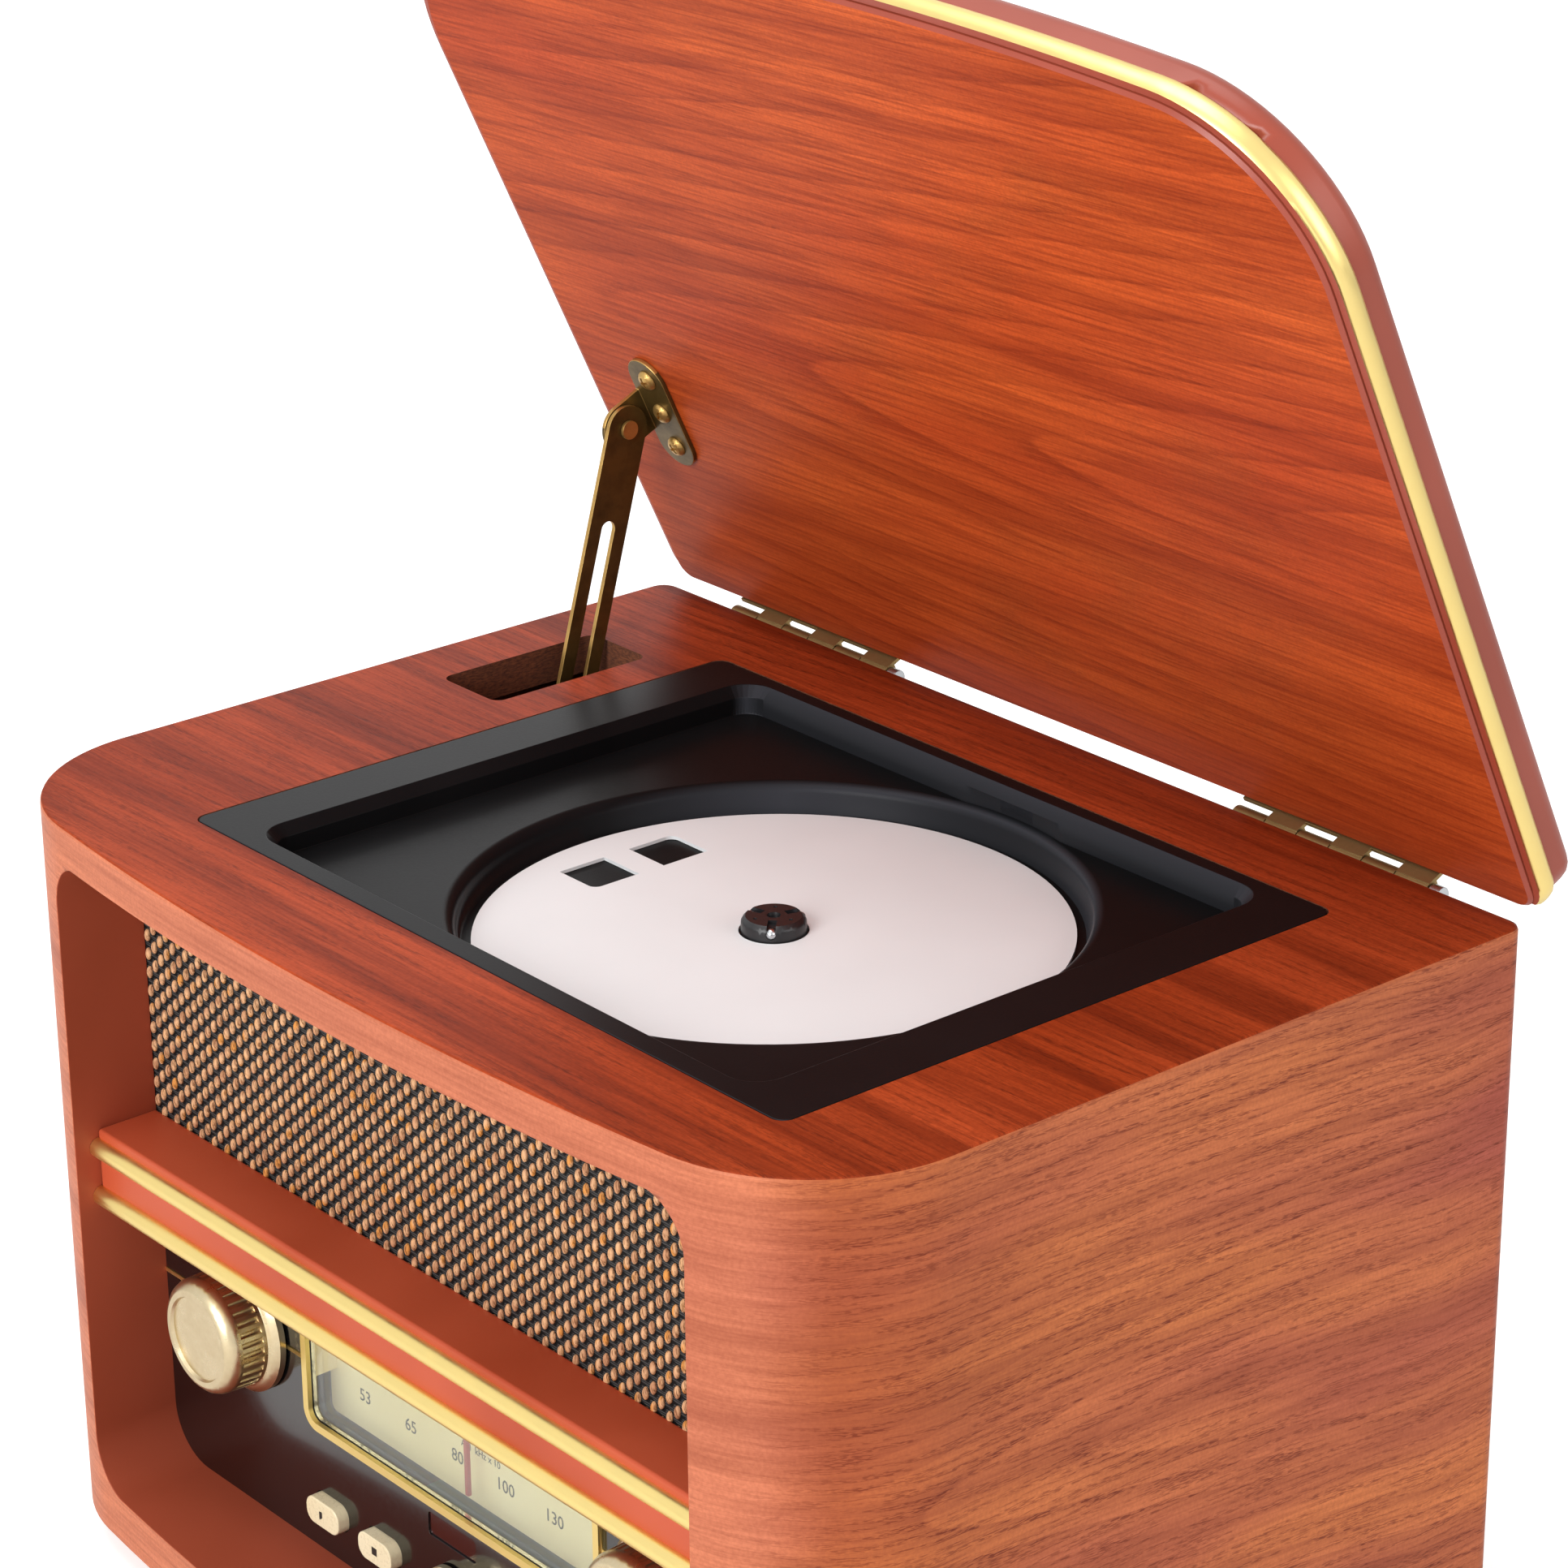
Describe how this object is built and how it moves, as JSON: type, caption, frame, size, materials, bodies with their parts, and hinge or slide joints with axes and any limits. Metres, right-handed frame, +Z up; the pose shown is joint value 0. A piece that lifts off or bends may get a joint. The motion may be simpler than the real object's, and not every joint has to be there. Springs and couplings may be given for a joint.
{
  "type": "music center",
  "caption": "Table-top music center in a wooden cabinet with a hinged lid on a slotted stay over a top-loading disc deck, a cloth grille, a radio dial and knobs.",
  "frame": {"origin": "on the table, under the middle of the cabinet's plan, in the plane of the feet's undersides", "axes": "+X to the right as seen from the front, -Y out of the bowed front, +Z up"},
  "size_m": [0.2972, 0.2296, 0.3912],
  "materials": {
    "cherry_veneer": "satin lacquered cherry veneer",
    "cherry_top": "satin lacquered cherry veneer",
    "cherry_lid_panel": "satin lacquered cherry veneer",
    "cherry_lid_board": "satin lacquered cherry veneer",
    "red_lacquer": "smooth satin red-brown lacquer",
    "raw_board": "raw fibreboard",
    "dark_board": "dark stained board",
    "rubber_foot": "matt black rubber",
    "damper_rubber": "soft dark rubber",
    "grille_weave": "tan and black woven grille cloth",
    "gold_metal": "polished gold",
    "gold_knob": "pale gold satin metal",
    "button_ivory": "ivory gloss plastic",
    "black_panel": "black panel",
    "dial_glass": "clear dial window",
    "dial_paper": "cream dial scale",
    "pointer_red": "red pointer",
    "display_red": "dark red display window",
    "bright_steel": "bright steel",
    "grey_metal": "grey metal",
    "drum_plastic": "natural moulded plastic",
    "circuit_board": "green circuit board",
    "speaker_steel": "dark pressed steel",
    "speaker_paper": "black pulp cone",
    "transformer_core": "varnished laminations",
    "black_plastic": "black moulded plastic",
    "deck_black": "satin black moulded plastic",
    "card_white": "white card",
    "lens_glass": "small blue coated lens",
    "antique_brass": "antique brass"
  },
  "bodies": {
    "cabinet": {"cabinet_body": "cherry_veneer", "top_board": "cherry_top", "base_board": "raw_board", "hinge_rail": "raw_board", "back_cleats": "raw_board", "back_panel": "dark_board", "feet": "rubber_foot", "baffle": "dark_board", "grille_cloth": "grille_weave", "front_rail": "red_lacquer", "rail_beads": "gold_metal", "control_panel": "black_panel", "dial_glass": "dial_glass", "dial_scale": "dial_paper", "dial_rail": "bright_steel", "track_display": "display_red", "tuning_bush": "bright_steel", "tuning_capacitor": "drum_plastic", "volume_control": "grey_metal", "function_switch": "grey_metal", "button_board": "circuit_board", "speaker_frames": "speaker_steel", "speaker_cones": "speaker_paper", "main_board": "circuit_board", "heat_sink": "grey_metal", "transformer": "transformer_core", "jack_panel": "black_plastic", "mains_inlet": "black_plastic", "deck_tray": "deck_black", "spindle_motor": "bright_steel", "cd_chassis": "grey_metal", "cd_dampers": "damper_rubber", "sled_rods": "bright_steel", "sled_motor": "bright_steel", "cabinet_leaves": "antique_brass", "hinge_pins": "bright_steel", "stay_block": "raw_board", "stay_pin": "antique_brass"},
    "lid": {"lid_panel": "cherry_lid_panel", "lid_board": "cherry_lid_board", "lid_trim": "gold_metal", "lid_leaves": "antique_brass", "stay_bracket": "antique_brass", "stay_screws": "antique_brass"},
    "stay": {"stay_arm": "antique_brass"},
    "card": {"cover_card": "card_white"},
    "spindle": {"disc_hub": "black_plastic", "hub_balls": "bright_steel"},
    "pickup": {"pickup_sled": "black_plastic", "pickup_lens": "lens_glass"},
    "screw": {"sled_screw": "drum_plastic"},
    "tuning": {"tuning_knob": "gold_knob"},
    "pointer": {"dial_pointer": "pointer_red"},
    "drum": {"dial_drum": "drum_plastic"},
    "volume": {"volume_knob": "gold_knob"},
    "function": {"function_knob": "gold_knob"},
    "play": {"play_button": "button_ivory"},
    "stop": {"stop_button": "button_ivory"},
    "skip_back": {"back_button": "button_ivory"},
    "skip_next": {"next_button": "button_ivory"}
  },
  "joints": [
    {"name": "lid_hinge", "type": "hinge", "parent": "cabinet", "child": "lid", "pos_m": [0, 0.1097, 0.1893], "axis": [1, 0, 0], "range_deg": [0, 64.7]},
    {"name": "stay_pivot", "type": "hinge", "parent": "lid", "child": "stay", "pos_m": [-0.123, 0.07613, 0.2459], "axis": [1, 0, 0], "range_deg": [-33, 1]},
    {"name": "card_lift", "type": "slide", "parent": "cabinet", "child": "card", "axis": [0, 0, 1], "range_m": [0, 0.013]},
    {"name": "spindle_turn", "type": "hinge", "parent": "cabinet", "child": "spindle", "pos_m": [0.0195, 0.0032, 0.178], "axis": [0, 0, 1], "continuous": true},
    {"name": "pickup_slide", "type": "slide", "parent": "cabinet", "child": "pickup", "axis": [1, 0, 0], "range_m": [0, 0.034]},
    {"name": "screw_turn", "type": "hinge", "parent": "cabinet", "child": "screw", "pos_m": [0.0325, 0.0252, 0.1648], "axis": [1, 0, 0], "range_deg": [0, 4081]},
    {"name": "tuning_turn", "type": "hinge", "parent": "cabinet", "child": "tuning", "pos_m": [0.08, -0.077, 0.0685], "axis": [0, 1, 0], "range_deg": [-859, 859]},
    {"name": "pointer_slide", "type": "slide", "parent": "cabinet", "child": "pointer", "axis": [1, 0, 0], "range_m": [-0.045, 0.045]},
    {"name": "drum_turn", "type": "hinge", "parent": "cabinet", "child": "drum", "pos_m": [0.042, -0.05, 0.07], "axis": [0, 1, 0], "range_deg": [-90, 90]},
    {"name": "volume_turn", "type": "hinge", "parent": "cabinet", "child": "volume", "pos_m": [-0.08, -0.077, 0.0685], "axis": [0, 1, 0], "range_deg": [-140, 140]},
    {"name": "function_turn", "type": "hinge", "parent": "cabinet", "child": "function", "pos_m": [0, -0.077, 0.031], "axis": [0, 1, 0], "range_deg": [-40, 40]},
    {"name": "play_press", "type": "slide", "parent": "cabinet", "child": "play", "axis": [0, 1, 0], "range_m": [0, 0.0012], "stiffness_N_per_m": 300, "springref_m": -0.0012},
    {"name": "stop_press", "type": "slide", "parent": "cabinet", "child": "stop", "axis": [0, 1, 0], "range_m": [0, 0.0012], "stiffness_N_per_m": 300, "springref_m": -0.0012},
    {"name": "skip_back_press", "type": "slide", "parent": "cabinet", "child": "skip_back", "axis": [0, 1, 0], "range_m": [0, 0.0012], "stiffness_N_per_m": 300, "springref_m": -0.0012},
    {"name": "skip_next_press", "type": "slide", "parent": "cabinet", "child": "skip_next", "axis": [0, 1, 0], "range_m": [0, 0.0012], "stiffness_N_per_m": 300, "springref_m": -0.0012}
  ],
  "couplings": [
    {"joint": "stay_pivot", "follows": "lid_hinge", "ratio": -0.5},
    {"joint": "screw_turn", "follows": "pickup_slide", "rad_per_m": 2094.4},
    {"joint": "pointer_slide", "follows": "tuning_turn", "m_per_rad": 0.003},
    {"joint": "drum_turn", "follows": "tuning_turn", "ratio": 0.10472}
  ]
}
